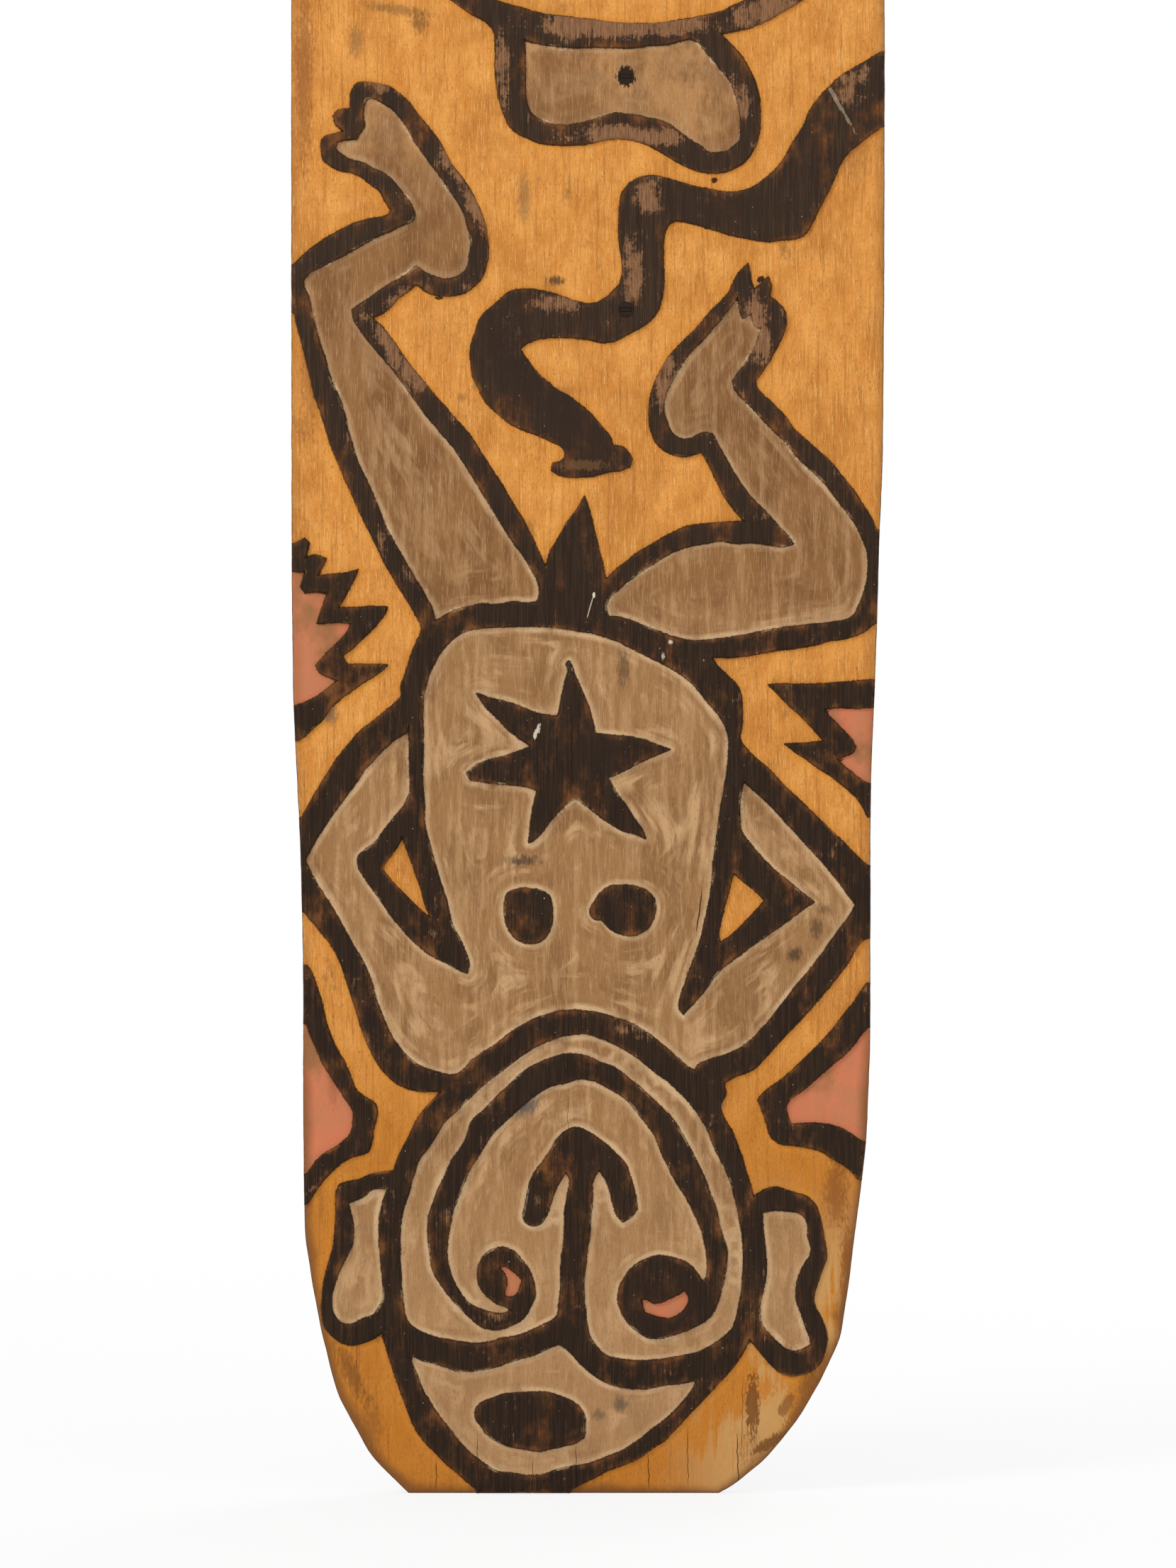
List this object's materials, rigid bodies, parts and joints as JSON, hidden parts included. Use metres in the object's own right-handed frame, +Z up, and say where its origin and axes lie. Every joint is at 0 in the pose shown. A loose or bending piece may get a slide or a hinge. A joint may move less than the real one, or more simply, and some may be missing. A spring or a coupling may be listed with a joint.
{
  "type": "carved plank shield",
  "caption": "Tall wooden plank shield with figures carved in shallow relief on its front and a bent cane grip that swings in wooden eyes on its back.",
  "frame": {"origin": "on the flat foot edge, halfway through the plank's thickness", "axes": "+Z up the plank, -Y out of the carved front, +X to the right of who looks at the front"},
  "size_m": [0.45, 0.1001, 1.6],
  "materials": {
    "plank_wood": "dark hardwood, worn, with matt earth paint in the cut fields",
    "lug_wood": "whittled hardwood, satin from handling",
    "wedge_wood": "split hardwood, matt",
    "cane": "peeled cane, satin",
    "split_cane": "split cane winding, satin",
    "cord": "plant-fibre cord, matt"
  },
  "bodies": {
    "shield": {"board": "plank_wood", "upper_lug": "lug_wood", "lower_lug": "lug_wood", "upper_wedge": "wedge_wood", "lower_wedge": "wedge_wood"},
    "grip": {"grip_bow": "cane", "grip_wrap": "split_cane", "upper_whipping": "cord", "lower_whipping": "cord"}
  },
  "joints": [
    {"name": "grip_swing", "type": "hinge", "parent": "shield", "child": "grip", "pos_m": [0.0288, 0.036, 0.9878], "axis": [0, 0, 1], "range_deg": [-105, 105]}
  ]
}
